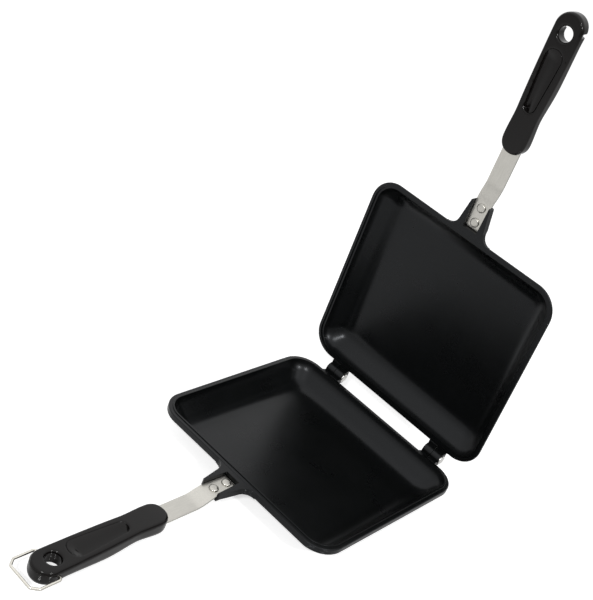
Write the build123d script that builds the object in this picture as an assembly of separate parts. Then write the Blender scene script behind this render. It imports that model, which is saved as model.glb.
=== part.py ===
from build123d import *
import os

# Hinged double pan for toasting sandwiches over a hob. Millimetres, Z up.
# Every piece is drawn in the hinge frame: the hinge axis is X at y = 0, z = 0, the two rims meet
# in the plane z = 0 when the pans are shut, and the handles point along -Y.
# At the end all pieces move so that the origin is the middle of the lower pan's flat base.

# Pans
PAN_WIDTH = 160.0
PAN_LENGTH = 152.0
PAN_CORNER_R = 18.5
HINGE_REACH = 7.7
PAN_HEIGHT = 19.5
CAVITY_DEPTH = 16.5
RIM_WIDTH = 4.0
RIM_TOP = -0.15
LIP_INSET = 2.8
LIP_TOP = 0.45
REBATE_INSET = 2.4
REBATE_FLOOR = -1.2
LOWER_BAND_BOTTOM = -5.0
LID_BAND_BOTTOM = -2.3
BAND_EDGE_R = 1.3
SHOULDER_Z = -6.0
SHOULDER_INSET = 2.9
WALL_BREAK_DEPTH = 4.5
WALL_BREAK_INSET = 4.8
FLOOR_INSET = 18.1
BASE_INSET = 16.4
OPEN_ANGLE = 88.1
PAN_MID_Y = -HINGE_REACH - PAN_LENGTH / 2
FRONT_Y = -HINGE_REACH - PAN_LENGTH

# Hinge knuckles, two on each casting; the other casting's knuckles are their mirror places in X
KNUCKLE_R = 4.5
KNUCKLE_SPANS = ((-57.0, -49.8), (42.2, 49.4))
PIN_SPANS = ((-57.0, -42.2), (42.2, 57.0))
PIN_R = 1.95
PIN_SEAT_R = 1.96
PIN_BORE_R = 2.0
PIN_HEAD_R = 3.4
PIN_TAIL_R = 2.7
PIN_HEAD_GAP = 0.25
HEEL_TOP = 7.5

# Handle bracket with two ears and a channel for the strap
EAR_ROOT_X = 11.7
EAR_ROOT_R = 8.0
EAR_TIP_X = 7.9
EAR_TIP_Y = -182.8
EAR_TIP_LEAN = 0.7
BRACKET_TOP = -0.4
BRACKET_BOTTOM = -5.4
RIB_BOTTOM = -7.5
CHANNEL_END_Y = -163.1
CHANNEL_FLOOR = -4.98
CHANNEL_FLOOR_END_Y = -182.6
SIDE_GAP = 0.25

# Strap
STRAP_THICK = 1.5
STRAP_END_Y = -163.6
STRAP_END_HALF = 5.5
STRAP_HALF = 6.6
STRAP_WIDE_Y = -190.0
STRAP_LOW_Z = -4.2
STRAP_OUT_Z = -7.6
BEND_START_Y = -182.4
BEND_END_Y = -199.0
STRAP_TAIL_Y = -247.0
UPPER_TILT = 1.2

# Rivets
RIVET_YS = (-168.2, -179.6)
RIVET_SHANK_R = 1.6
RIVET_HOLE_R = 1.7
RIVET_HEAD_R = 2.9
RIVET_HEAD_H = 1.5
RIVET_TAIL_H = 1.2

# Grips
GRIP_NEAR_Y = -222.0
GRIP_NEAR_END = ((4.5, -223.0), (7.0, -225.1), (8.6, -228.3))
GRIP_SIDE = (
    (9.1, -233.5), (8.8, -243.0), (8.6, -248.5), (8.85, -256.0),
    (9.4, -268.0), (9.8, -281.0), (10.15, -297.0),
)
GRIP_TIP_Y = -320.4
GRIP_TIP_R = 10.3
GRIP_INNER_Z = (
    (-217.0, -3.1), (-228.0, -2.3), (-242.0, -2.1), (-270.0, -2.5), (-308.0, -3.2), (-324.0, -3.6),
)
GRIP_OUTER_Z = (
    (-217.0, -14.0), (-233.0, -13.9), (-248.0, -12.7), (-268.0, -14.4),
    (-282.0, -14.0), (-299.0, -12.9), (-305.5, -12.9), (-312.0, -14.1), (-324.0, -14.3),
)
GRIP_BEVEL = 1.7
GRIP_BEVEL_DROP = 1.0
GRIP_ROUND = 4.2
HOLE_Y = -306.4
HOLE_R = 5.0
HOLE_CHAMFER = 0.9
HOLE_INNER_Z = -3.2
HOLE_OUTER_Z = -13.0
POCKET_NEAR_Y = -252.6
POCKET_FAR_Y = -295.6
POCKET_NEAR_R = 4.0
POCKET_FAR_R = 6.2
POCKET_FLOOR = -7.6
POCKET_FLOOR_R = 1.4

# Grip screws
SCREW_Y = -237.5
SCREW_R = 1.8
SCREW_HOLE_R = 1.9
SCREW_HEAD_R = 3.3
SCREW_HEAD_H = 2.2
SCREW_WELL_R = 3.6
SCREW_WELL_Z = -10.4
SCREW_END_Z = -4.2

# Latch bail
BAIL_PIVOT_Y = -309.0
BAIL_PIVOT_Z = -7.3
BAIL_WIRE_R = 0.9
BAIL_BORE_R = 0.95
BAIL_LEG_X = 12.5
BAIL_BAR_X = 9.0
BAIL_REACH = 19.1
BAIL_CHAMFER = 4.4
BAIL_PIN_END_X = 7.6
BAIL_BEND_R = 1.8
CATCH_ANGLE = 88.0
CATCH_GAP = 0.3


def rim_outline(inset, corner, z):
    """Rounded rectangle of the pan's outline, moved in by inset, in the plane at height z."""
    sketch = RectangleRounded(PAN_WIDTH - 2 * inset, PAN_LENGTH - 2 * inset, corner)
    return Pos(0, PAN_MID_Y, z) * sketch


def prism(inset, corner, low, high):
    """Upright slab of the pan's outline between two heights."""
    return extrude(rim_outline(inset, corner, low), high - low)


def edges_at(shape, z):
    """Edges that lie in the plane at height z."""
    return shape.edges().filter_by_position(Axis.Z, z - 0.01, z + 0.01)


def yz_plate(points, x0, x1):
    """Plate of a polygon given in Y and Z, between two X positions."""
    outline = Polyline(*[(x0, y, z) for y, z in points], close=True)
    return extrude(make_face(outline), x1 - x0, dir=(1, 0, 0))


def x_rod(radius, x0, x1, y=0.0, z=0.0):
    """Round rod along X between two X positions."""
    return Pos((x0 + x1) / 2, y, z) * Rot(0, 90, 0) * Cylinder(radius, abs(x1 - x0))


def z_rod(radius, z0, z1, y):
    """Upright round rod on the handle's middle line."""
    return Pos(0, y, (z0 + z1) / 2) * Cylinder(radius, abs(z1 - z0))


def pan_shell(band_bottom):
    """Cast pan with a flat floor, sloped walls and a rim band that reaches down to band_bottom."""
    band = prism(0, PAN_CORNER_R, band_bottom, RIM_TOP)
    band = fillet(edges_at(band, RIM_TOP), 0.6)
    band = fillet(edges_at(band, band_bottom), BAND_EDGE_R)
    lip = prism(LIP_INSET, PAN_CORNER_R - LIP_INSET, RIM_TOP - 2, LIP_TOP)
    lip = fillet(edges_at(lip, LIP_TOP), 0.25)
    top = rim_outline(0.9, PAN_CORNER_R - 0.9, band_bottom + 1.0)
    shoulder = rim_outline(SHOULDER_INSET, 16.3, SHOULDER_Z)
    base = rim_outline(BASE_INSET, 7.5, -PAN_HEIGHT)
    body = loft([base, shoulder, top], ruled=True)
    body = fillet(edges_at(body, -PAN_HEIGHT), 5.0)
    mouth = rim_outline(RIM_WIDTH - 0.3, PAN_CORNER_R - RIM_WIDTH + 0.3, 2.0)
    bend = rim_outline(WALL_BREAK_INSET, PAN_CORNER_R - WALL_BREAK_INSET, -WALL_BREAK_DEPTH)
    floor = rim_outline(FLOOR_INSET, 6.0, -CAVITY_DEPTH)
    cavity = loft([floor, bend, mouth], ruled=True)
    cavity = fillet(edges_at(cavity, -WALL_BREAK_DEPTH), 9.0)
    cavity = fillet(edges_at(cavity, -CAVITY_DEPTH), 8.0)
    return band + lip + body - cavity


def knuckle(x0, x1):
    """Hinge barrel with its web to the rim and a heel that stops the other pan when it stands open."""
    inside_y = -HINGE_REACH - 3
    barrel = x_rod(KNUCKLE_R, x0, x1)
    web = yz_plate([(inside_y, -0.8), (0, -0.8), (0, -KNUCKLE_R), (inside_y, -4.6)], x0, x1)
    far_x = x0 - 3.4
    corner = [(x0, inside_y), (x0, -4.2), (x0 - 1.1, -6.7), (far_x, -HINGE_REACH), (far_x, inside_y)]
    flare = extrude(Pos(0, 0, -4.5) * make_face(Polyline(*corner, close=True)), 3.4)
    heel = yz_plate([(0.4, 0), (0.4, HEEL_TOP), (4.5, HEEL_TOP), (4.5, 0)], x0, x1)
    heel = fillet(heel.edges().filter_by(Axis.X).group_by(Axis.Z)[-1], 0.6)
    return barrel + web + flare + heel


def channel_half(y):
    """Half width of the channel between the ears at a place along the handle."""
    share = (STRAP_END_Y - y) / (STRAP_END_Y - STRAP_WIDE_Y)
    return STRAP_END_HALF + share * (STRAP_HALF - STRAP_END_HALF) + SIDE_GAP


def bracket(band_bottom):
    """Two ears that grow from the front rim, as deep there as its band, with the rib under the channel."""
    root_y = FRONT_Y + 0.1
    inner_x = EAR_TIP_X - 2
    right = [
        (17.5, FRONT_Y + 3.2),
        (EAR_ROOT_X + EAR_ROOT_R - 0.9, root_y),
        (EAR_ROOT_X, root_y),
        (EAR_TIP_X, EAR_TIP_Y),
        (inner_x, EAR_TIP_Y - 2 * EAR_TIP_LEAN),
    ]
    left = [(-x, y) for x, y in reversed(right)]
    outline = Polyline(*(right + left), close=True)
    plate = extrude(Pos(0, 0, BRACKET_BOTTOM) * make_face(outline), BRACKET_TOP - BRACKET_BOTTOM)
    roots = plate.edges().filter_by(Axis.Z).filter_by(lambda e: abs(abs(e.center().X) - EAR_ROOT_X) < 0.01)
    plate = fillet(roots, EAR_ROOT_R)
    low = BRACKET_BOTTOM - 1
    back = FRONT_Y + 4
    rise = [(back, low), (back, band_bottom), (FRONT_Y, band_bottom), (-168, BRACKET_BOTTOM), (-168, low)]
    plate -= yz_plate(rise, -30, 30)
    end = CHANNEL_FLOOR_END_Y
    foot = [(-155, -4.2), (-149.5, -10), (-148, -13)]
    rib = [(end, -2.2), (-157.5, -2.2)] + foot + [(-160, RIB_BOTTOM), (end, RIB_BOTTOM)]
    plate += yz_plate(rib, -6.8, 6.8)
    far = channel_half(EAR_TIP_Y - 3)
    near = channel_half(CHANNEL_END_Y)
    slot = [(near, CHANNEL_END_Y), (far, EAR_TIP_Y - 3), (-far, EAR_TIP_Y - 3), (-near, CHANNEL_END_Y)]
    plate -= extrude(Pos(0, 0, CHANNEL_FLOOR) * make_face(Polyline(*slot, close=True)), 6)
    plate -= Pos(0, end - 5, -7) * Box(2 * channel_half(EAR_TIP_Y), 10, 14)
    for y in RIVET_YS:
        plate -= z_rod(RIVET_HOLE_R, -14, 0, y)
    return plate


def casting(bore_r, band_bottom):
    """One pan with its knuckles and handle bracket, as cast."""
    part = pan_shell(band_bottom) + bracket(band_bottom)
    for x0, x1 in KNUCKLE_SPANS:
        part += knuckle(x0, x1)
    for x0, x1 in KNUCKLE_SPANS:
        part -= x_rod(bore_r, x0 - 1, x1 + 1)
    return part


def lid_rim_cut():
    """Ring that takes the lip off a casting and sinks the rebate which the other pan's lip enters."""
    return prism(REBATE_INSET, PAN_CORNER_R - REBATE_INSET, REBATE_FLOOR, 3)


def strap(tilt):
    """Flat steel strap: narrow in the channel, then bent away from the parting plane and on into the grip."""
    bend_mid = ((BEND_START_Y + BEND_END_Y) / 2, (STRAP_LOW_Z + STRAP_OUT_Z) / 2)
    tail = Vector(0, STRAP_TAIL_Y - BEND_END_Y, 0).rotate(Axis.X, tilt)
    flat = Line((0, STRAP_END_Y, STRAP_LOW_Z), (0, BEND_START_Y, STRAP_LOW_Z))
    bend = Spline(
        (0, BEND_START_Y, STRAP_LOW_Z),
        (0, bend_mid[0], bend_mid[1]),
        (0, BEND_END_Y, STRAP_OUT_Z),
        tangents=[(0, -1, 0), (0, tail.Y, tail.Z)],
    )
    out = Line((0, BEND_END_Y, STRAP_OUT_Z), (0, BEND_END_Y + tail.Y, STRAP_OUT_Z + tail.Z))
    path = Wire([flat, bend, out])
    section = Plane(origin=path @ 0, z_dir=path % 0, x_dir=(1, 0, 0)) * Rectangle(2 * STRAP_HALF, STRAP_THICK)
    blank = sweep(section, path)
    plan = Polyline(
        (STRAP_END_HALF, STRAP_END_Y + 1),
        (STRAP_END_HALF, STRAP_END_Y),
        (STRAP_HALF, STRAP_WIDE_Y),
        (STRAP_HALF, STRAP_TAIL_Y - 2),
        (-STRAP_HALF, STRAP_TAIL_Y - 2),
        (-STRAP_HALF, STRAP_WIDE_Y),
        (-STRAP_END_HALF, STRAP_END_Y),
        (-STRAP_END_HALF, STRAP_END_Y + 1),
        close=True,
    )
    blade = blank & extrude(Pos(0, 0, -20) * make_face(plan), 30)
    for y in RIVET_YS:
        blade -= z_rod(RIVET_HOLE_R, -10, 0, y)
    blade -= tilted(z_rod(SCREW_HOLE_R, -12, 0, SCREW_Y), tilt)
    return blade


def rivet(y):
    """Rivet with a domed head on the strap and a flat tail under the bracket."""
    seat = STRAP_LOW_Z + STRAP_THICK / 2
    head = Pos(0, y, seat + RIVET_HEAD_H / 2) * Cylinder(RIVET_HEAD_R, RIVET_HEAD_H)
    head = fillet(edges_at(head, seat + RIVET_HEAD_H), 1.3)
    tail = Pos(0, y, RIB_BOTTOM - RIVET_TAIL_H / 2) * Cylinder(RIVET_HEAD_R - 0.3, RIVET_TAIL_H)
    tail = fillet(edges_at(tail, RIB_BOTTOM - RIVET_TAIL_H), 0.5)
    return head + z_rod(RIVET_SHANK_R, RIB_BOTTOM - 0.5, seat + 0.5, y) + tail


def tilted(shape, tilt):
    """Turns a grip-side shape about the end of the strap's bend, away from the parting plane."""
    return Pos(0, BEND_END_Y, STRAP_OUT_Z) * Rot(tilt, 0, 0) * Pos(0, -BEND_END_Y, -STRAP_OUT_Z) * shape


def grip_plan():
    """Outline of the grip seen from above: blunt round near end, slight waist, half-round tip."""
    tip_mid = GRIP_TIP_Y + GRIP_TIP_R
    right = list(GRIP_NEAR_END) + list(GRIP_SIDE) + [(GRIP_TIP_R, tip_mid)]
    left = [(-x, y) for x, y in right]
    sides = Spline(*reversed(left), (0, GRIP_NEAR_Y), *right, tangents=[(0, 1), (0, -1)])
    tip = ThreePointArc((GRIP_TIP_R, tip_mid), (0, GRIP_TIP_Y), (-GRIP_TIP_R, tip_mid))
    return make_face([sides, tip])


def grip_blank():
    """Grip body: the plan outline cut by the side curves, bevelled inside and rounded outside."""
    prism_z = extrude(Pos(0, 0, -22) * grip_plan(), 30)
    inner = Spline(*[(-15, y, z) for y, z in GRIP_INNER_Z])
    outer = Spline(*[(-15, y, z) for y, z in reversed(GRIP_OUTER_Z)])
    far = Line(inner @ 1, outer @ 0)
    near = Line(outer @ 1, inner @ 0)
    profile = extrude(make_face([inner, far, outer, near]), 30, dir=(1, 0, 0))
    body = prism_z & profile
    inner_face = body.faces().sort_by(Axis.Z)[-1]
    body = chamfer(inner_face.edges(), GRIP_BEVEL_DROP, GRIP_BEVEL, reference=inner_face)
    outer_face = body.faces().sort_by(Axis.Z)[0]
    return fillet(outer_face.edges(), GRIP_ROUND)


def pocket():
    """Tapered pocket with round ends that is sunk in the grip's inner face."""
    near_mid = POCKET_NEAR_Y - POCKET_NEAR_R
    far_mid = POCKET_FAR_Y + POCKET_FAR_R
    wide = Pos(0, far_mid) * Circle(POCKET_FAR_R)
    narrow = Pos(0, near_mid) * Circle(POCKET_NEAR_R)
    outline = make_hull(wide.edges() + narrow.edges())
    block = extrude(Pos(0, 0, POCKET_FLOOR) * outline, 12, taper=-4)
    return fillet(edges_at(block, POCKET_FLOOR), POCKET_FLOOR_R)


def hang_hole():
    """Through hole near the tip with a chamfer at each face."""
    bore = z_rod(HOLE_R, -20, 5, HOLE_Y)
    size = HOLE_CHAMFER
    top = Pos(0, HOLE_Y, HOLE_INNER_Z) * Cone(HOLE_R, HOLE_R + 2 * size, 2 * size)
    low = Pos(0, HOLE_Y, HOLE_OUTER_Z) * Cone(HOLE_R + 2 * size, HOLE_R, 2 * size)
    return bore + top + low


def strap_socket():
    """Slot in the grip that the strap's tail fills."""
    length = GRIP_NEAR_Y + 3 - STRAP_TAIL_Y + 0.2
    return Pos(0, GRIP_NEAR_Y + 3 - length / 2, STRAP_OUT_Z) * Box(2 * STRAP_HALF, length, STRAP_THICK)


def grip(tilt, with_pivot, with_catch):
    """Moulded grip, with the bail's side holes or the bail's catch groove where stated."""
    body = grip_blank() - pocket() - hang_hole() - strap_socket()
    body -= z_rod(SCREW_HOLE_R, SCREW_END_Z + 0.2, -20, SCREW_Y)
    body -= z_rod(SCREW_WELL_R, SCREW_WELL_Z, -20, SCREW_Y)
    if with_pivot:
        for side in (-1, 1):
            body -= x_rod(BAIL_BORE_R, side * 7.2, side * 12, BAIL_PIVOT_Y, BAIL_PIVOT_Z)
    body = tilted(body, tilt)
    if with_catch:
        body -= catch_groove()
    return body


def catch_groove():
    """Groove across the upper grip's outer side, shaped to the swung bail's bar and cut corners."""
    swung = Vector(0, -BAIL_REACH, 0).rotate(Axis.X, -CATCH_ANGLE)
    y = BAIL_PIVOT_Y + swung.Y
    bar_z = -(BAIL_PIVOT_Z + swung.Z)
    room = BAIL_WIRE_R + CATCH_GAP
    cut = Vector(BAIL_LEG_X - BAIL_BAR_X, BAIL_CHAMFER)
    leg = BAIL_LEG_X - room
    bar = BAIL_BAR_X - room * (cut.length - cut.X) / cut.Y
    turn_z = bar_z + BAIL_CHAMFER + room * (cut.length - cut.Y) / cut.X
    kept = [(-leg, 5), (-leg, turn_z), (-bar, bar_z + room), (bar, bar_z + room), (leg, turn_z), (leg, 5)]
    keep = extrude(Plane.XZ.offset(-y - room) * make_face(Polyline(*kept, close=True)), 2 * room)
    slab = Pos(0, y, -12) * Box(30, 2 * room, 20)
    return slab - keep


def screw(tilt):
    """Pan-head screw that holds the strap's tail in the grip, entered from the outer side."""
    head = Pos(0, SCREW_Y, SCREW_WELL_Z - SCREW_HEAD_H / 2) * Cylinder(SCREW_HEAD_R, SCREW_HEAD_H)
    head = fillet(edges_at(head, SCREW_WELL_Z - SCREW_HEAD_H), 0.9)
    bar = Pos(0, SCREW_Y, SCREW_WELL_Z - SCREW_HEAD_H) * Box(4.0, 0.8, 1.6)
    cross = Pos(0, SCREW_Y, SCREW_WELL_Z - SCREW_HEAD_H) * Box(0.8, 4.0, 1.6)
    shank = z_rod(SCREW_R, SCREW_END_Z, SCREW_WELL_Z - 0.5, SCREW_Y)
    return tilted(head - bar - cross + shank, tilt)


def hinge_pin(x0, x1):
    """Hinge pin with a low domed head at +X and a peened tail at -X."""
    shank = x_rod(PIN_R, x0 - 0.6, x1 + 0.8)
    head = x_rod(PIN_HEAD_R, x1 + PIN_HEAD_GAP, x1 + PIN_HEAD_GAP + 1.0)
    head = fillet(head.edges().sort_by(Axis.X)[-1], 0.7)
    tail = x_rod(PIN_TAIL_R, x0 - 0.8, x0)
    tail = fillet(tail.edges().sort_by(Axis.X)[0], 0.5)
    return shank + head + tail


def latch_bail():
    """Wire bail: two pins in the lower grip's side holes, two legs, cut corners and a bar past the tip."""
    bar_y = BAIL_PIVOT_Y - BAIL_REACH
    leg_end_y = bar_y + BAIL_CHAMFER
    z = BAIL_PIVOT_Z
    points = [
        (BAIL_PIN_END_X, BAIL_PIVOT_Y, z),
        (BAIL_LEG_X, BAIL_PIVOT_Y, z),
        (BAIL_LEG_X, leg_end_y, z),
        (BAIL_BAR_X, bar_y, z),
        (-BAIL_BAR_X, bar_y, z),
        (-BAIL_LEG_X, leg_end_y, z),
        (-BAIL_LEG_X, BAIL_PIVOT_Y, z),
        (-BAIL_PIN_END_X, BAIL_PIVOT_Y, z),
    ]
    path = FilletPolyline(*points, radius=BAIL_BEND_R)
    section = Plane(origin=path @ 0, z_dir=path % 0) * Circle(BAIL_WIRE_R)
    return sweep(section, path)


def as_lower(shape):
    """Moves a piece from the hinge frame to the part's own frame."""
    return Pos(0, -PAN_MID_Y, PAN_HEIGHT) * shape


def as_upper(shape):
    """Turns a piece over about Y, which makes it the lid's, and opens it about the hinge."""
    return as_lower(Rot(-OPEN_ANGLE, 0, 0) * Rot(0, 180, 0) * shape)


os.makedirs("parts", exist_ok=True)

pieces = {
    "lower_pan": as_lower(casting(PIN_SEAT_R, LOWER_BAND_BOTTOM)),
    "upper_pan": as_upper(casting(PIN_BORE_R, LID_BAND_BOTTOM) - lid_rim_cut()),
    "lower_strap": as_lower(strap(0)),
    "upper_strap": as_upper(strap(UPPER_TILT)),
    "lower_inner_rivet": as_lower(rivet(RIVET_YS[0])),
    "lower_outer_rivet": as_lower(rivet(RIVET_YS[1])),
    "upper_inner_rivet": as_upper(rivet(RIVET_YS[0])),
    "upper_outer_rivet": as_upper(rivet(RIVET_YS[1])),
    "lower_grip": as_lower(grip(0, True, False)),
    "upper_grip": as_upper(grip(UPPER_TILT, False, True)),
    "lower_grip_screw": as_lower(screw(0)),
    "upper_grip_screw": as_upper(screw(UPPER_TILT)),
    "left_hinge_pin": as_lower(hinge_pin(*PIN_SPANS[0])),
    "right_hinge_pin": as_lower(hinge_pin(*PIN_SPANS[1])),
    "latch_bail": as_lower(latch_bail()),
}
for name, shape in pieces.items():
    solids = shape.solids()
    size = shape.bounding_box().size
    print(name, "solids", len(solids), "size", round(size.X, 1), round(size.Y, 1), round(size.Z, 1))
    export_step(solids[0] if len(solids) == 1 else shape, f"parts/{name}.step")
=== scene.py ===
# %% [markdown]
# A hinged sandwich pan, dressed for its portrait
#
# The pan arrives as a finished frame: every casting, strap, rivet and pin is already there, at its
# real size and in its real place. This lesson gives each piece the surface that the eye expects of
# it. We set up the camera, redraw the pieces whose soft edges matter, make the materials one by
# one, and at the end light everything like a plain studio photograph. The frame is in metres, and
# its origin is the middle of the lower pan's flat underside.

# %% Load the frame
import math
import bpy
import numpy as np
from mathutils import Matrix, Vector


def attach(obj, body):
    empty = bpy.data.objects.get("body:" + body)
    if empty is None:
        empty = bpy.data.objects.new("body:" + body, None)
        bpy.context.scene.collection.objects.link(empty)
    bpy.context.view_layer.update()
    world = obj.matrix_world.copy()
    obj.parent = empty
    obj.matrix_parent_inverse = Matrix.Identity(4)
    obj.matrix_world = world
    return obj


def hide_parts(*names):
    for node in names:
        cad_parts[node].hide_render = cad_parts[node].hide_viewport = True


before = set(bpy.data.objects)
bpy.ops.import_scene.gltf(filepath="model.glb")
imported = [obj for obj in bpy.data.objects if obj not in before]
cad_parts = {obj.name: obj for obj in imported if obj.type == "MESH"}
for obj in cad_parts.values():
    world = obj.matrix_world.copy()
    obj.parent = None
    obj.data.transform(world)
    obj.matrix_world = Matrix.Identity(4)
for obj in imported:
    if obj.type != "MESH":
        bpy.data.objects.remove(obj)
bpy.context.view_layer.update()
MM = 0.001

# %% [markdown]
# The camera
#
# The photograph was taken from in front, from the right and from above, with the camera rolled to
# the left so that both handles fit across the picture. A camera's place and aim are easiest to read
# as an azimuth, an elevation and a roll, so that is how they are written here. The long lens keeps
# the two square pans from looking like wedges.

# %% Place the camera
CAMERA_PLACE = Vector((0.3095, -0.5942, 0.4953))
AIM_AZIMUTH = 31.60
AIM_ELEVATION = 29.38
ROLL = 22.61
LENS_MM = 70.95
SENSOR_MM = 36.0
NEAREST_SEEN = 0.01


def camera_turn(azimuth, elevation, roll):
    """Rotation that rolls a camera about its sight, aims it down, then turns it to an azimuth."""
    turn = Matrix.Rotation(math.radians(azimuth), 3, "Z")
    nod = Matrix.Rotation(math.radians(90 - elevation), 3, "X")
    bank = Matrix.Rotation(math.radians(roll), 3, "Z")
    return turn @ nod @ bank


camera = bpy.data.objects.new("Camera", bpy.data.cameras.new("Camera"))
camera.data.lens = LENS_MM
camera.data.sensor_width = SENSOR_MM
camera.data.clip_start = NEAREST_SEEN
camera.location = CAMERA_PLACE
camera.rotation_mode = "QUATERNION"
camera.rotation_quaternion = camera_turn(AIM_AZIMUTH, AIM_ELEVATION, ROLL).to_quaternion()
bpy.context.scene.collection.objects.link(camera)
bpy.context.scene.camera = camera
print("camera at", [round(v, 3) for v in camera.location], "lens", LENS_MM, "mm")

# %% [markdown]
# Two frames to draw in
#
# Both pans are the same casting, so every new piece is worked out once, in millimetres, in a frame
# that suits it: the hinge line is X, the rims meet in the plane z = 0, and the handle points along
# -Y. The lid's copy is turned over about Y and swung open about the hinge. One small matrix does
# that. The upper handle is also set a little off its pan's plane, about a line at its strap's bend.

# %% From the drawing frame to the part's frame
OPEN_DEGREES = 88.1
HANDLE_SET_DEGREES = 1.2
SET_CENTRE = np.array([0.0, -199.0, -7.6])
PAN_CENTRE_Y = -83.7
RIM_HEIGHT = 19.5
DRAWING_ORIGIN = np.array([0.0, -PAN_CENTRE_Y, RIM_HEIGHT])


def about_x(degrees):
    """Rotation about X: y and z turn, x stays."""
    c, s = math.cos(math.radians(degrees)), math.sin(math.radians(degrees))
    return np.array([[1, 0, 0], [0, c, -s], [0, s, c]])


TURN = {"lower": np.eye(3), "lid": about_x(-OPEN_DEGREES) @ np.diag([-1.0, 1.0, -1.0])}


def to_part(points, body):
    """Drawing frame in millimetres to the part's frame in metres: turn, then shift."""
    return (points @ TURN[body].T + DRAWING_ORIGIN) * MM


def to_drawing(points, body):
    """The way back: shift, then the inverse turn."""
    return (points / MM - DRAWING_ORIGIN) @ TURN[body]


print("the lid's rim normal points along", np.round(TURN["lid"] @ [0, 0, 1], 3))

# %% [markdown]
# From the frame's meshes to arrays and back
#
# The frame's meshes are loose triangles, which is how a CAD program hands them over. To work on
# one, its points are read as an array and welded where they coincide. The way back is one function
# too: it puts points and faces into a mesh, shades it smooth, and ties the piece to the body that
# it moves with.

# %% Read arrays from a mesh
def welded(mesh):
    """A mesh's points welded where they coincide, its triangles, and a normal for each corner."""
    spots = np.empty(len(mesh.vertices) * 3, np.float32)
    mesh.vertices.foreach_get("co", spots)
    corners = np.empty(len(mesh.loops), np.int32)
    mesh.loops.foreach_get("vertex_index", corners)
    normals = np.empty(len(mesh.loops) * 3, np.float32)
    mesh.corner_normals.foreach_get("vector", normals)
    points, place = np.unique(spots.reshape(-1, 3).round(7), axis=0, return_inverse=True)
    triangles = place.ravel()[corners].reshape(-1, 3)
    return points.astype(float), triangles, normals.reshape(-1, 3, 3).astype(float)


print("welded, the lower pan has", len(welded(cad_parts["lower_pan"].data)[0]), "points")


# %% Put arrays into a mesh
def new_piece(name, points, faces, body, replaced, corner_normals=None):
    """A smooth-shaded object from arrays, which rides on a body and stands for a frame node."""
    mesh = bpy.data.meshes.new(name)
    mesh.from_pydata(points.tolist(), [], [face for group in faces for face in group.tolist()])
    mesh.polygons.foreach_set("use_smooth", np.ones(len(mesh.polygons), bool))
    if corner_normals is not None:
        mesh.normals_split_custom_set(corner_normals.tolist())
    mesh.update()
    piece = bpy.data.objects.new(name, mesh)
    bpy.context.scene.collection.objects.link(piece)
    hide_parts(replaced)
    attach(piece, body)
    print(name, "has", len(points), "points and", len(mesh.polygons), "faces")
    return piece


# %% [markdown]
# The hollow of each pan
#
# On the real pan the wall runs into the floor in one long soft curve, so a reflection fades over it
# instead of stopping at a line. It could be sculpted, or filleted in the model; here it is a
# profile carried round a rounded rectangle, because then the curve is one short list of numbers:
# how far in from the outline, and how deep. The outside of the casting, with its knuckles and
# bracket, is kept as it came: only the triangles inside the mouth are exchanged.

# %% The pan's rounded outline
OUTLINE_HALF = np.array([80.0, 76.0])
OUTLINE_CORNER = 18.5


def inset_of(x, y):
    """How far a point lies inside the outline: corner radius less its distance from the core.

    The core is the rectangle through the four corners' centres. Inside it the distance is that to
    its nearest side, counted negative.
    """
    gap = np.abs(np.stack([x, y - PAN_CENTRE_Y], -1)) - (OUTLINE_HALF - OUTLINE_CORNER)
    return OUTLINE_CORNER - np.linalg.norm(np.maximum(gap, 0), axis=-1) - np.minimum(gap.max(-1), 0)


print("the pan's middle lies", float(inset_of(0.0, PAN_CENTRE_Y)), "mm inside its outline")

# %% The hollow's profile
HOLLOW_BENDS = np.array([[5.0, -4.8], [15.2, -16.5]])
BEND_REACH = (3.4, 6.4)
FLOOR_EDGE = np.array([24.0, -16.5])
CORNER_SHRINK = 0.6


def rounded_bends(start, bends, reach, end, steps=9):
    """A line through bends, each rounded by a quadratic blend that starts and ends at its reach.

    At t from 0 to 1 a rounded bend is the bend, plus (1 - t) squared times its reach back along
    the line, plus t squared times its reach on along the line.
    """
    stops = np.vstack([start, bends, end])
    rows = [stops[:1]]
    t = np.linspace(0, 1, steps)[:, None]
    for here, before, after, far in zip(bends, stops[:-2], stops[2:], reach):
        back = (before - here) / np.linalg.norm(before - here)
        on = (after - here) / np.linalg.norm(after - here)
        rows.append(here + (1 - t) ** 2 * far * back + t ** 2 * far * on)
    return np.vstack(rows + [stops[-1:]])


def ring_radius(inset):
    """Corner radius at an inset: concentric to the first bend, then CORNER_SHRINK less per mm."""
    first = HOLLOW_BENDS[0, 0]
    return OUTLINE_CORNER - np.minimum(inset, first) - CORNER_SHRINK * np.maximum(inset - first, 0)


print("corner radius at the floor's edge:", round(float(ring_radius(FLOOR_EDGE[0])), 2), "mm")

# %% Find the old hollow and its mouth
MOUTH_INSET = 3.9
LEAST_RISE = 0.05


def old_hollow(drawn, triangles, normals, body):
    """True for each triangle whose middle lies inside the mouth and whose normal points up."""
    middle = drawn[triangles].mean(1)
    rise = (normals.mean(1) @ TURN[body])[:, 2]
    return (inset_of(middle[:, 0], middle[:, 1]) > MOUTH_INSET) & (rise > LEAST_RISE)


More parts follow.
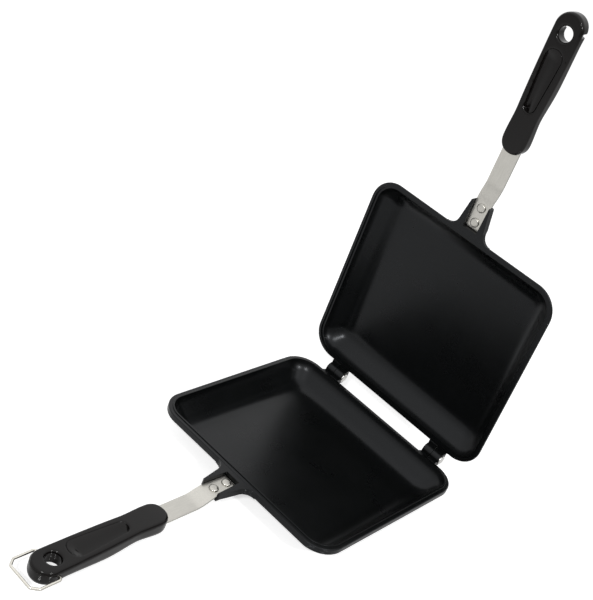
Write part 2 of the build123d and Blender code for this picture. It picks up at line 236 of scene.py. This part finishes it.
def mouth_loop(drawn, triangles, hollow):
    """The points that kept and exchanged triangles share, by their angle round the pan's middle.

    Each is core + radius * outward, where core is the nearest point of the core rectangle and
    outward has length 1. The profile starts at their mean inset and height.
    """
    edge = np.intersect1d(triangles[hollow], triangles[~hollow])
    x, y = drawn[edge, 0], drawn[edge, 1] - PAN_CENTRE_Y
    order = np.argsort(np.arctan2(y, x))
    edge, flat = edge[order], np.stack([x, y], -1)[order]
    core = np.clip(flat, OUTLINE_CORNER - OUTLINE_HALF, OUTLINE_HALF - OUTLINE_CORNER)
    radius = np.linalg.norm(flat - core, axis=-1)
    start = np.array([OUTLINE_CORNER - radius.mean(), drawn[edge, 2].mean()])
    return edge, core, (flat - core) / radius[:, None], start


print("triangles that face up, more than", MOUTH_INSET, "mm inside the outline, are exchanged")


# %% Carry the profile round the mouth
def hollow_rings(core, outward, profile):
    """Points and normals of the new hollow, one ring for each (inset, depth) row of the profile.

    A point is the core rectangle's point at that inset plus ring_radius * outward, at the row's
    depth. Its normal is outward times the fall to the next rows, and upwards the distance by which
    the ring moves in over the same rows, brought to length 1.
    """
    inset, depth = profile[:, 0], profile[:, 1]
    radius = ring_radius(inset)
    share = (OUTLINE_HALF - (inset + radius)[:, None]) / (OUTLINE_HALF - OUTLINE_CORNER)
    rings = core * share[:, None, :] + radius[:, None, None] * outward
    heights = np.broadcast_to(depth[:, None, None], rings.shape[:2] + (1,))
    rings = np.concatenate([rings, heights], -1)
    rings[..., 1] += PAN_CENTRE_Y
    run, fall, grow = np.gradient(inset), np.gradient(depth), np.gradient(radius)
    spread = np.abs(outward).sum(-1)
    climb = spread * (run + grow)[:, None] - grow[:, None]
    facing = np.concatenate([outward * fall[:, None, None], climb[..., None]], -1)
    facing /= np.linalg.norm(facing, axis=-1, keepdims=True)
    return rings, facing


one_corner = (OUTLINE_HALF - OUTLINE_CORNER)[None]
one_path, _ = hollow_rings(one_corner, np.array([[0.6, 0.8]]), HOLLOW_BENDS)
print("one corner point meets the two bends at", one_path[:, 0].round(2).tolist())


# %% Join the rings
def between_rings(number):
    """A quad for each pair of neighbours on each pair of neighbouring rings, facing up."""
    after = np.roll(number, -1, axis=1)
    return np.stack([number[:-1], after[:-1], after[1:], number[1:]], -1).reshape(-1, 4)


def ring_normals(facing):
    """A normal for each corner of those quads, in the same order."""
    beside = np.roll(facing, -1, axis=1)
    return np.stack([facing[:-1], beside[:-1], beside[1:], facing[1:]], 2).reshape(-1, 3)


def only_used(points, faces):
    """The points that some face uses, and the faces renumbered to them."""
    used, renumbered = np.unique(np.concatenate([f.ravel() for f in faces]), return_inverse=True)
    split = np.split(renumbered.ravel(), np.cumsum([f.size for f in faces])[:-1])
    return points[used], [part.reshape(f.shape) for part, f in zip(split, faces)]


print("two rings of 4 points give", len(between_rings(np.arange(8).reshape(2, 4))), "quads")


# %% Exchange the triangles inside the mouth
def pan_with_soft_hollow(node, body):
    """The casting with its hollow redrawn: rings of quads from the mouth, then a fan to a hub."""
    points, triangles, normals = welded(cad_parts[node].data)
    drawn = to_drawing(points, body)
    hollow = old_hollow(drawn, triangles, normals, body)
    edge, core, outward, start = mouth_loop(drawn, triangles, hollow)
    profile = rounded_bends(start, HOLLOW_BENDS, BEND_REACH, FLOOR_EDGE)
    rings, facing = hollow_rings(core, outward, profile)
    count, size, start_at = len(profile) - 1, len(edge), len(points)
    number = np.vstack([edge[None], start_at + np.arange(count * size).reshape(count, size)])
    quads = between_rings(number)
    hub = start_at + count * size
    fan = np.stack([number[-1], np.roll(number[-1], -1), np.full(size, hub)], -1)
    hub_point = np.array([[0.0, PAN_CENTRE_Y, profile[-1, 1]]])
    fresh = to_part(np.vstack([rings[1:].reshape(-1, 3), hub_point]), body)
    up = np.broadcast_to(TURN[body] @ [0.0, 0.0, 1.0], (size * 3, 3))
    all_normals = np.vstack([
        normals[~hollow].reshape(-1, 3), ring_normals(facing) @ TURN[body].T, up,
    ])
    all_points, faces = only_used(np.vstack([points, fresh]), [triangles[~hollow], quads, fan])
    print(node, "mouth", size, "triangles out", int(hollow.sum()), "faces in", len(quads) + size)
    return new_piece(node + "_casting", all_points, faces, body, node, all_normals)


LOWER_CASTING = pan_with_soft_hollow("lower_pan", "lower")
LID_CASTING = pan_with_soft_hollow("upper_pan", "lid")

# %% [markdown]
# Grips with moulded edges
#
# Every edge of a moulding is a little round, because a sharp corner in the mould would chip and
# would be hard to fill. The frame's grips have crisp edges. Bevelling each of them by hand is slow
# work, so the whole skin is rebuilt from small even cells and then relaxed: flat parts stay flat
# and every edge turns soft, about a millimetre across. The finger pocket is reshaped in the same
# pass: it falls gently from one side and ends in a steep wall on the other.

# %% The finger pocket's floor
POCKET_NEAR, POCKET_FAR = (-256.6, 4.0), (-289.4, 6.2)
POCKET_DEPTH = 2.3
POCKET_DEEPEST = 0.78
POCKET_END_RUN = 7.0
INNER_FACE = np.array([
    (-324.0, -3.6), (-308.0, -3.2), (-270.0, -2.5), (-242.0, -2.1), (-228.0, -2.3),
])


def soft_step(value):
    """Zero below 0, one above 1, and three v squared less two v cubed between."""
    v = np.clip(value, 0, 1)
    return v * v * (3 - 2 * v)


def pocket_line(y):
    """The pocket's nearest middle point to y, and its half width there.

    POCKET_NEAR and POCKET_FAR are the rounds at its ends, as (y, radius), blended by how far y
    lies between them.
    """
    along = np.clip((y - POCKET_NEAR[0]) / (POCKET_FAR[0] - POCKET_NEAR[0]), 0, 1)
    middle_y = POCKET_NEAR[0] + along * (POCKET_FAR[0] - POCKET_NEAR[0])
    return middle_y, POCKET_NEAR[1] + along * (POCKET_FAR[1] - POCKET_NEAR[1])


def pocket_floor(x, y):
    """The inner face's height less a depth that grows across the pocket and in from its far end."""
    half = pocket_line(y)[1]
    across = soft_step((x / half + 1) / (POCKET_DEEPEST + 1))
    lengthways = soft_step((y - POCKET_FAR[0] + POCKET_FAR[1]) / POCKET_END_RUN)
    face = np.interp(y, INNER_FACE[:, 0], INNER_FACE[:, 1])
    return face - POCKET_DEPTH * across * lengthways


print("pocket floor at both sides:", np.round(pocket_floor(np.array([-4.8, 4.8]), -270.0), 2), "mm")


# %% Two tools for modifiers
def plain_object(name, points, faces):
    """A helper object, which is removed once its modifiers are applied."""
    mesh = bpy.data.meshes.new(name)
    mesh.from_pydata(points.tolist(), [], faces.tolist())
    helper = bpy.data.objects.new(name, mesh)
    bpy.context.scene.collection.objects.link(helper)
    return helper


def applied(helper):
    """The mesh that an object's modifiers give, as points and quads; the object is removed."""
    ready = helper.evaluated_get(bpy.context.evaluated_depsgraph_get()).to_mesh()
    points = np.empty(len(ready.vertices) * 3, np.float32)
    ready.vertices.foreach_get("co", points)
    corners = np.empty(len(ready.loops), np.int32)
    ready.loops.foreach_get("vertex_index", corners)
    print(helper.name, "gives", len(ready.vertices), "points")
    bpy.data.objects.remove(helper)
    return points.reshape(-1, 3).astype(float), corners.reshape(-1, 4)


# %% Rebuild the grips' skin
CELL_MM = 0.36
RELAX_ROUNDS = 20
RELAX_SHARE = 0.5
POCKET_MARGIN = 0.25
POCKET_LOWEST = -8.5


def soft_grip(node, body, set_degrees):
    """The grip's skin from even cells, its pocket raised to pocket_floor, and all of it relaxed."""
    points, triangles, _ = welded(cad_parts[node].data)
    drawn = (to_drawing(points, body) - SET_CENTRE) @ about_x(set_degrees) + SET_CENTRE
    helper = plain_object("skin_helper", drawn, triangles)
    skin = helper.modifiers.new("even_cells", "REMESH")
    skin.mode = "VOXEL"
    skin.voxel_size = CELL_MM
    cells, quads = applied(helper)
    x, y, z = cells.T
    middle_y, half = pocket_line(y)
    inside = (np.hypot(x, y - middle_y) < half + POCKET_MARGIN) & (z > POCKET_LOWEST)
    cells[inside, 2] = np.maximum(z[inside], pocket_floor(x[inside], y[inside]))
    helper = plain_object("relax_helper", cells, quads)
    relax = helper.modifiers.new("relax", "SMOOTH")
    relax.factor = RELAX_SHARE
    relax.iterations = RELAX_ROUNDS
    cells, quads = applied(helper)
    placed = to_part((cells - SET_CENTRE) @ about_x(-set_degrees) + SET_CENTRE, body)
    print(node, "cells", len(quads))
    return new_piece(node + "_moulding", placed, [quads], body, node)


LOWER_GRIP = soft_grip("lower_grip", "lower", 0.0)
UPPER_GRIP = soft_grip("upper_grip", "lid", HANDLE_SET_DEGREES)

# %% [markdown]
# Rivets and hinge pins
#
# A rivet's head is struck with a hollow punch, so it is a low dome with a crisp foot. A hinge pin
# has a low dome at one end and a peened tail with a shallow dent from the punch at the other. Both
# could be carved from cylinders, but they are lathe work: a profile of radius and height, turned
# once round its axis, with the first and last point on the axis.

# %% Turn a profile
def turned(profile, along, steps=48):
    """A profile turned round an axis: radius times cosine and sine across, height along it.

    The first and last rows lie on the axis and become single points, so both poles are closed.
    """
    angle = np.linspace(0, 2 * np.pi, steps, endpoint=False)
    side, up = {"Z": ((0, 1), 2), "X": ((1, 2), 0)}[along]
    grid = np.zeros((len(profile) - 2, steps, 3))
    grid[..., side[0]] = profile[1:-1, None, 0] * np.cos(angle)
    grid[..., side[1]] = profile[1:-1, None, 0] * np.sin(angle)
    grid[..., up] = profile[1:-1, None, 1]
    ends = np.zeros((2, 3))
    ends[:, up] = profile[[0, -1], 1]
    points = np.vstack([grid.reshape(-1, 3), ends])
    number = np.arange(grid.shape[0] * steps).reshape(-1, steps)
    after = np.roll(number, -1, axis=1)
    quads = np.stack([number[:-1], number[1:], after[1:], after[:-1]], -1).reshape(-1, 4)
    first, last = len(points) - 2, len(points) - 1
    cap = np.stack([number[0], after[0], np.full(steps, first)], -1)
    foot = np.stack([after[-1], number[-1], np.full(steps, last)], -1)
    return points, [quads, cap, foot]


def dome(radius, top, height, steps=12, squareness=3.2):
    """Rows of a low dome from its top to its foot: a superellipse of the given squareness."""
    t = np.linspace(0, np.pi / 2, steps)
    across = radius * np.sin(t) ** (2 / squareness)
    rise = top - height + height * np.cos(t) ** (2 / squareness)
    return np.stack([across, rise], -1)


print("a dome's rows run from", dome(3.0, 1.0, 1.0)[0], "to", dome(3.0, 1.0, 1.0)[-1].round(3))

# %% Rivets
RIVET_TOP, RIVET_SEAT = -2.15, -3.45
RIVET_HEAD_R, RIVET_SHANK_R = 3.3, 1.6
TAIL_SEAT, TAIL_END = -7.5, -8.7
TAIL_ROUND = np.array([[2.6, 0.5], [2.35, 0.12], [2.0, 0.0], [0.0, 0.0]])
RIVET_YS = {"inner": -168.2, "outer": -179.6}


def rivet(name, body, y):
    """Domed head on the strap, shank, and flat tail under the bracket, round at its edge."""
    head = dome(RIVET_HEAD_R, RIVET_TOP, RIVET_TOP - RIVET_SEAT)
    shank = np.array([
        [RIVET_SHANK_R, RIVET_SEAT], [RIVET_SHANK_R, TAIL_SEAT], [TAIL_ROUND[0, 0], TAIL_SEAT],
    ])
    points, faces = turned(np.vstack([head, shank, TAIL_ROUND + [0.0, TAIL_END]]), "Z")
    return new_piece(name + "_turned", to_part(points + [0, y, 0], body), faces, body, name)


RIVETS = [rivet(f"{side}_{which}_rivet", body, y)
          for side, body in (("lower", "lower"), ("upper", "lid"))
          for which, y in RIVET_YS.items()]
print("rivets:", [piece.name for piece in RIVETS])

# %% Hinge pins
PIN_SPANS = {"left_hinge_pin": (-57.0, -42.2), "right_hinge_pin": (42.2, 57.0)}
PIN_R, PIN_HEAD_R = 1.95, 3.4
PIN_HEAD_SEAT, PIN_HEAD_HEIGHT = 0.25, 1.0
PEENED_TAIL = np.array([
    [2.7, 0.0], [2.7, -0.35], [2.45, -0.68], [2.0, -0.8], [1.1, -0.78], [0.6, -0.6], [0.0, -0.5],
])
CREASE_DEGREES = 35


def hinge_pin(name, low, high):
    """From +X: low domed head, shank, and a peened tail with a punch dent."""
    seat = high + PIN_HEAD_SEAT
    head = dome(PIN_HEAD_R, seat + PIN_HEAD_HEIGHT, PIN_HEAD_HEIGHT)
    shank = np.array([[PIN_R, seat], [PIN_R, low]])
    points, faces = turned(np.vstack([head, shank, PEENED_TAIL + [0.0, low]]), "X")
    return new_piece(name + "_turned", to_part(points, "lower"), faces, "lower", name)


PINS = [hinge_pin(name, *span) for name, span in PIN_SPANS.items()]
for piece in RIVETS + PINS:
    piece.data.set_sharp_from_angle(angle=math.radians(CREASE_DEGREES))
print("turned", len(RIVETS), "rivets and", len(PINS), "pins")

# %% [markdown]
# Small tools for every material
#
# A screen colour such as #0D0E0E is stored on a curve that suits the eye, but light adds up in
# linear numbers, so each hex colour passes through one function first. A second function adds a
# node, sets its sockets and links it in one line, which keeps each material as short as its
# description in words.

# %% Colour and node helpers
def linear(hex_colour):
    """An sRGB hex colour as linear RGBA: up to 0.04045 value / 12.92, above it a 2.4 power."""
    parts = np.array([int(hex_colour[i:i + 2], 16) for i in (1, 3, 5)]) / 255
    curve = np.where(parts <= 0.04045, parts / 12.92, ((parts + 0.055) / 1.055) ** 2.4)
    return (*curve.tolist(), 1.0)


def socket_of(node, name):
    """An input of a node, by its name with underscores for spaces, or by _ and its number."""
    return node.inputs[int(name[1:]) if name[1:].isdigit() else name.replace("_", " ")]


def add(tree, kind, settings=None, **links):
    """Adds a node. A setting goes to the property of that name, or else to the socket."""
    node = tree.nodes.new("ShaderNode" + kind)
    for name, value in (settings or {}).items():
        if hasattr(node, name):
            setattr(node, name, value)
        else:
            socket_of(node, name).default_value = value
    for name, source in links.items():
        tree.links.new(source, socket_of(node, name))
    return node


print("black #000000 is", linear("#000000")[:3], "and white is", linear("#FFFFFF")[:3])


# %% Start a material
def new_material(name, **shader_settings):
    """A material with one Principled shader, whose constants are set on its own sockets."""
    material = bpy.data.materials.new(name)
    material.use_nodes = True
    tree = material.node_tree
    tree.nodes.clear()
    shader = add(tree, "BsdfPrincipled", shader_settings)
    add(tree, "OutputMaterial", Surface=shader.outputs["BSDF"])
    place = add(tree, "TexCoord").outputs["Object"]
    return material, tree, shader, place


def per_mm(size_mm):
    """A noise scale whose patches are about size_mm across: one over the size in metres."""
    return 1 / (size_mm * MM)


print("patches of 1 mm need a noise scale of", round(per_mm(1.0)))

# %% [markdown]
# Non-stick coating on cast aluminium
#
# The pans are taken to be cast aluminium, sprayed with a dark PTFE coating and baked. Nearly all
# the light that the eye gets from it is a soft reflection: dark where it mirrors the other pan,
# slate grey where it mirrors the white room. PTFE has an index of about 1.35, and the reflection
# is brought down further and turned a little cool until it matches the photograph. Thick and thin
# spray change the gloss in patches a few centimetres wide. The spray also leaves an orange peel
# about half a millimetre across, and faint lighter specks. Real specks are near a tenth of a
# millimetre, too fine to show, so they are drawn 0.7 mm wide, about a pixel.

# %% Coating material
SPRAY_PATCH_MM = 28
PEEL_MM = 0.6
SPECK_MM = 0.7
COOL_TINT = "#F7FAFF"


def coated_aluminium():
    """Sprayed and baked PTFE: near-black body, soft gloss, orange peel and faint specks."""
    settings = {"IOR": 1.35, "Specular_IOR_Level": 0.345, "Specular_Tint": linear(COOL_TINT)}
    material, tree, shader, place = new_material("sprayed_ptfe_coating", **settings)
    patches = {"Scale": per_mm(SPRAY_PATCH_MM), "Detail": 3.0}
    patch = add(tree, "TexNoise", patches, Vector=place).outputs["Fac"]
    specks = {"Scale": per_mm(SPECK_MM), "Detail": 1.0}
    speck = add(tree, "TexNoise", specks, Vector=place).outputs["Fac"]
    speck_range = {"From_Min": 0.55, "From_Max": 0.85}
    speck_mask = add(tree, "MapRange", speck_range, Value=speck).outputs[0]
    body_colours = {"data_type": "RGBA", "_6": linear("#050606"), "_7": linear("#070808")}
    body = add(tree, "Mix", body_colours, _0=patch).outputs[2]
    speck_colour = {"data_type": "RGBA", "_7": linear("#121315")}
    flecked = add(tree, "Mix", speck_colour, _0=speck_mask, _6=body).outputs[2]
    tree.links.new(flecked, shader.inputs["Base Color"])
    gloss = {"From_Min": 0.3, "From_Max": 0.7, "To_Min": 0.26, "To_Max": 0.32}
    rough = add(tree, "MapRange", gloss, Value=patch).outputs[0]
    tree.links.new(rough, shader.inputs["Roughness"])
    peel = add(tree, "TexNoise", {"Scale": per_mm(PEEL_MM), "Detail": 2.0}, Vector=place)
    height = {"Strength": 0.12, "Distance": 0.05 * MM}
    bump = add(tree, "Bump", height, Height=peel.outputs["Fac"])
    tree.links.new(bump.outputs["Normal"], shader.inputs["Normal"])
    return material


COATING = coated_aluminium()
print("made", COATING.name, "with", len(COATING.node_tree.nodes), "nodes")

# %% [markdown]
# Phenolic grips
#
# The grips are compression-moulded phenolic resin, the brown-black plastic of pan handles, polished
# by the mould. It is harder and denser than most plastics, with an index of about 1.6, so its
# highlights are crisp. Its reflection is brought down until the grips are as dark as in the
# photograph. Flow in the mould leaves a very slight waviness, and handling leaves hairline scuffs,
# drawn about a millimetre wide so that they show, and only as a change of gloss.

# %% Phenolic material
FLOW_MM = 14
SCUFF_MM = 1.1


def moulded_phenolic():
    """Glossy phenolic resin: brown-black, crisp reflections, faint flow waves, hairline scuffs."""
    settings = {"IOR": 1.6, "Specular_IOR_Level": 0.13}
    material, tree, shader, place = new_material("moulded_phenolic", **settings)
    waves = {"Scale": per_mm(FLOW_MM), "Detail": 2.0}
    flow = add(tree, "TexNoise", waves, Vector=place).outputs["Fac"]
    body_colours = {"data_type": "RGBA", "_6": linear("#080606"), "_7": linear("#0C0A09")}
    body = add(tree, "Mix", body_colours, _0=flow).outputs[2]
    tree.links.new(body, shader.inputs["Base Color"])
    scuffs = {"Scale": per_mm(SCUFF_MM), "Detail": 6.0, "Roughness": 0.7}
    scuff = add(tree, "TexNoise", scuffs, Vector=place).outputs["Fac"]
    gloss = {"From_Min": 0.35, "From_Max": 0.75, "To_Min": 0.10, "To_Max": 0.17}
    rough = add(tree, "MapRange", gloss, Value=scuff).outputs[0]
    tree.links.new(rough, shader.inputs["Roughness"])
    bump = add(tree, "Bump", {"Strength": 0.10, "Distance": 0.4 * MM}, Height=flow)
    tree.links.new(bump.outputs["Normal"], shader.inputs["Normal"])
    return material


PHENOLIC = moulded_phenolic()
print("made", PHENOLIC.name, "with", len(PHENOLIC.node_tree.nodes), "nodes")

# %% [markdown]
# Stainless straps, rivets, pins and wire
#
# The straps are cut from rolled stainless sheet and tumbled, which leaves a soft satin with short
# brush lines along the strip. Real lines are a few hundredths of a millimetre wide, too fine to
# show, so they are drawn a quarter of a millimetre wide and 30 times as long. The rivets are a
# little darker, and the hinge pins and the bail's wire are brighter and smoother. All are metals,
# so their colour is the colour of their reflection, and they differ in roughness and in the size of
# their marks. One function makes all of them.

# %% Metal materials
DEEPER_SHADE = 0.82


def metal(name, hex_colour, rough_low, rough_high, grain_mm, stretch=(1, 1, 1)):
    """Bare metal whose gloss and tint follow a noise grain, stretched the way it was worked."""
    material, tree, shader, place = new_material(name, Metallic=1.0)
    scale = [per_mm(grain_mm * factor) for factor in stretch]
    local = add(tree, "Mapping", {"Scale": scale}, Vector=place).outputs["Vector"]
    marks = {"Scale": 1.0, "Detail": 4.0, "Roughness": 0.6}
    grain = add(tree, "TexNoise", marks, Vector=local).outputs["Fac"]
    shade = linear(hex_colour)
    deeper = tuple(DEEPER_SHADE * v for v in shade[:3]) + (1.0,)
    share = add(tree, "MapRange", {"From_Min": 0.3, "From_Max": 0.65}, Value=grain).outputs[0]
    tint = add(tree, "Mix", {"data_type": "RGBA", "_6": deeper, "_7": shade}, _0=share)
    tree.links.new(tint.outputs[2], shader.inputs["Base Color"])
    gloss = {"From_Min": 0.3, "From_Max": 0.7, "To_Min": rough_low, "To_Max": rough_high}
    rough = add(tree, "MapRange", gloss, Value=grain).outputs[0]
    tree.links.new(rough, shader.inputs["Roughness"])
    bump = add(tree, "Bump", {"Strength": 0.15, "Distance": 0.02 * MM}, Height=grain)
    tree.links.new(bump.outputs["Normal"], shader.inputs["Normal"])
    return material


LOWER_STRAP_STEEL = metal("satin_stainless_lower", "#B4B2AC", 0.28, 0.42, 0.25, (1, 30, 1))
UPPER_STRAP_STEEL = metal("satin_stainless_upper", "#B4B2AC", 0.28, 0.42, 0.25, (1, 1, 30))
RIVET_ALUMINIUM = metal("headed_aluminium", "#AEACA6", 0.22, 0.36, 0.8)
PIN_STEEL = metal("turned_steel", "#DEDDDA", 0.14, 0.26, 0.5)
WIRE_STEEL = metal("drawn_plated_wire", "#C9C6BE", 0.16, 0.30, 0.3)
SCREW_STEEL = metal("zinc_plated_steel", "#B9B9B6", 0.25, 0.40, 0.6)
METALS = (LOWER_STRAP_STEEL, UPPER_STRAP_STEEL, RIVET_ALUMINIUM, PIN_STEEL, WIRE_STEEL, SCREW_STEEL)
print("made", [made.name for made in METALS])

# %% [markdown]
# A finish for every piece
#
# The straps, the screws and the bail are the frame's own pieces, whose shape is right as it is, so
# only their material changes. The others are the new pieces made above.

# %% Give every piece its material
FINISHES = {
    "lower_strap": LOWER_STRAP_STEEL,
    "upper_strap": UPPER_STRAP_STEEL,
    "latch_bail": WIRE_STEEL,
    "lower_grip_screw": SCREW_STEEL,
    "upper_grip_screw": SCREW_STEEL,
}
finished = [(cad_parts[name], material) for name, material in FINISHES.items()]
finished += [(piece, COATING) for piece in (LOWER_CASTING, LID_CASTING)]
finished += [(piece, PHENOLIC) for piece in (LOWER_GRIP, UPPER_GRIP)]
finished += [(piece, RIVET_ALUMINIUM) for piece in RIVETS]
finished += [(piece, PIN_STEEL) for piece in PINS]
for piece, material in finished:
    piece.data.materials.clear()
    piece.data.materials.append(material)
print("finished", len(finished), "pieces")

# %% [markdown]
# The floor
#
# The pan was photographed on seamless white. The floor is a wide white sheet that adds a little of
# its own light for the camera, so that it reads as white but still takes a soft shadow. For mirror
# reflections it keeps part of that light on the left of the pan, fading out towards the right: a
# painted reflection for the pan to mirror, with painted shade on its right. It also has a faint
# sheen that mirrors the lamps. Both were matched to the reflections in the photographed pans. What
# a ray sees is chosen by the kind of ray, so this glow reaches the pan only in its reflections.

# %% One value for each kind of ray
def by_ray(tree, camera_value, mirror_value, other_value):
    """One value for camera rays, one for reflected and transmitted rays, one for all others.

    The last two are mixed by the kind of ray, and the camera's value takes the place of that mix
    where Is Camera Ray is 1: mix + (camera_value - mix) * is_camera_ray.
    """
    path = add(tree, "LightPath").outputs
    mirror = add(tree, "Math", {"operation": "MAXIMUM"}, _0=path["Is Glossy Ray"],
                 _1=path["Is Transmission Ray"]).outputs[0]
    mixing = add(tree, "MapRange", {"To_Min": other_value}, Value=mirror)
    if isinstance(mirror_value, float):
        mixing.inputs["To Max"].default_value = mirror_value
    else:
        tree.links.new(mirror_value, mixing.inputs["To Max"])
    mix = mixing.outputs[0]
    gap = add(tree, "Math", {"operation": "SUBTRACT", "_0": camera_value}, _1=mix).outputs[0]
    step = add(tree, "Math", {"operation": "MULTIPLY"}, _0=gap, _1=path["Is Camera Ray"])
    return add(tree, "Math", {"operation": "ADD"}, _0=mix, _1=step.outputs[0]).outputs[0]


# %% The floor's paper
FLOOR_GLOW = 0.60
FLOOR_MIRROR_GLOW = 0.35
MIRROR_GLOW_FADES = (-0.05, 0.03)
FLOOR_SHEEN, SHEEN_ROUGHNESS = 0.08, 0.08


def white_paper():
    """Matt white paper, its glow for the camera, and a sheen and a painted reflection for mirror
    rays.
    """
    material = bpy.data.materials.new("white_paper")
    material.use_nodes = True
    tree = material.node_tree
    tree.nodes.clear()
    place = add(tree, "TexCoord").outputs["Object"]
    across = add(tree, "SeparateXYZ", Vector=place).outputs["X"]
    # The mirror glow is a painted reflection: bright left of the pan, fading to painted shade on
    # the right.
    fade = {"From_Min": MIRROR_GLOW_FADES[0], "From_Max": MIRROR_GLOW_FADES[1],
            "To_Min": FLOOR_MIRROR_GLOW, "To_Max": 0.0}
    mirror_glow = add(tree, "MapRange", fade, Value=across).outputs[0]
    strength = by_ray(tree, FLOOR_GLOW, mirror_glow, 0.0)
    paper = add(tree, "BsdfDiffuse", {"Color": linear("#F0F0F0")}).outputs[0]
    glow = add(tree, "Emission", {"Color": linear("#FFFFFF")}, Strength=strength).outputs[0]
    both = add(tree, "AddShader", _0=paper, _1=glow).outputs[0]
    sheen_look = {"Color": (FLOOR_SHEEN,) * 3 + (1.0,), "Roughness": SHEEN_ROUGHNESS}
    sheen = add(tree, "BsdfAnisotropic", sheen_look).outputs[0]
    shiny = add(tree, "AddShader", _0=both, _1=sheen).outputs[0]
    in_mirrors = by_ray(tree, 0.0, 1.0, 0.0)
    final = add(tree, "MixShader", _0=in_mirrors, _1=both, _2=shiny).outputs[0]
    add(tree, "OutputMaterial", Surface=final)
    return material


PAPER = white_paper()
print("made", PAPER.name, "with", len(PAPER.node_tree.nodes), "nodes")

# %% Lay the floor
FLOOR_HALF = 6.0
FLOOR_BELOW_BASE = 0.0002


def white_floor():
    """A wide square sheet just under the pan's base."""
    mesh = bpy.data.meshes.new("white_floor")
    corners = np.array([(-1, -1, 0), (1, -1, 0), (1, 1, 0), (-1, 1, 0)]) * FLOOR_HALF
    mesh.from_pydata(corners.tolist(), [], [(0, 1, 2, 3)])
    mesh.materials.append(PAPER)
    floor = bpy.data.objects.new("white_floor", mesh)
    floor.location.z = -FLOOR_BELOW_BASE
    bpy.context.scene.collection.objects.link(floor)
    return floor


white_floor()
print("the floor is", 2 * FLOOR_HALF, "m wide")

# %% [markdown]
# Lamps and room
#
# The glints in the corners of the photographed pans come in pairs, so two small lamps light the
# scene, about 54 degrees apart: one on the right and one in front, both some 40 degrees up. They
# are small because a broad lamp would smear each pair into one. The rest of the light comes from
# the white room. In mirror reflections the room is brighter overhead and dimmer low on the right,
# also matched to the photographed pans.

# %% Set the lamps
LAMP_AIM = (0.0, 0.0, 0.05)
LAMP_SIZE = 0.16
LAMP_WATTS = 9
LAMP_PLACES = {"right_lamp": (1.15, -0.33, 0.98), "front_lamp": (0.41, -1.12, 0.98)}


def small_lamp(name, place):
    """A square area lamp at a place, turned so that it faces LAMP_AIM."""
    data = bpy.data.lights.new(name, "AREA")
    data.shape = "SQUARE"
    data.size = LAMP_SIZE
    data.energy = LAMP_WATTS
    lamp = bpy.data.objects.new(name, data)
    lamp.location = place
    lamp.rotation_mode = "QUATERNION"
    lamp.rotation_quaternion = (Vector(LAMP_AIM) - Vector(place)).to_track_quat("-Z", "Y")
    bpy.context.scene.collection.objects.link(lamp)


for name, place in LAMP_PLACES.items():
    small_lamp(name, place)
    height = math.degrees(math.atan2(place[2], math.hypot(*place[:2])))
    print(name, "stands", round(height), "degrees up")

# %% Light the room
ROOM_SEEN = 1.0
ROOM_LIGHT = 0.45
CEILING = {"From_Min": 0.1, "From_Max": 0.9, "To_Min": 1.0, "To_Max": 1.7}
RIGHT_WALL = {"From_Min": 0.1, "From_Max": 0.7, "To_Max": 0.65}
LOW_DOWN = {"From_Min": 0.15, "From_Max": 0.55, "To_Min": 1.0, "To_Max": 0.0}

world = bpy.data.worlds.new("white_room")
world.use_nodes = True
room = world.node_tree
background = room.nodes["Background"]
background.inputs["Color"].default_value = linear("#FFFFFF")
direction = add(room, "TexCoord").outputs["Generated"]
towards = add(room, "SeparateXYZ", Vector=direction).outputs
ceiling = add(room, "MapRange", CEILING, Value=towards["Z"]).outputs[0]
to_the_right = add(room, "MapRange", RIGHT_WALL, Value=towards["X"]).outputs[0]
low_down = add(room, "MapRange", LOW_DOWN, Value=towards["Z"]).outputs[0]
drop = add(room, "Math", {"operation": "MULTIPLY"}, _0=to_the_right, _1=low_down).outputs[0]
mirrored = add(room, "Math", {"operation": "SUBTRACT"}, _0=ceiling, _1=drop).outputs[0]
room.links.new(by_ray(room, ROOM_SEEN, mirrored, ROOM_LIGHT), background.inputs["Strength"])
bpy.context.scene.world = world
bpy.context.scene.view_settings.view_transform = "Standard"
print("the room has", len(room.nodes), "nodes")
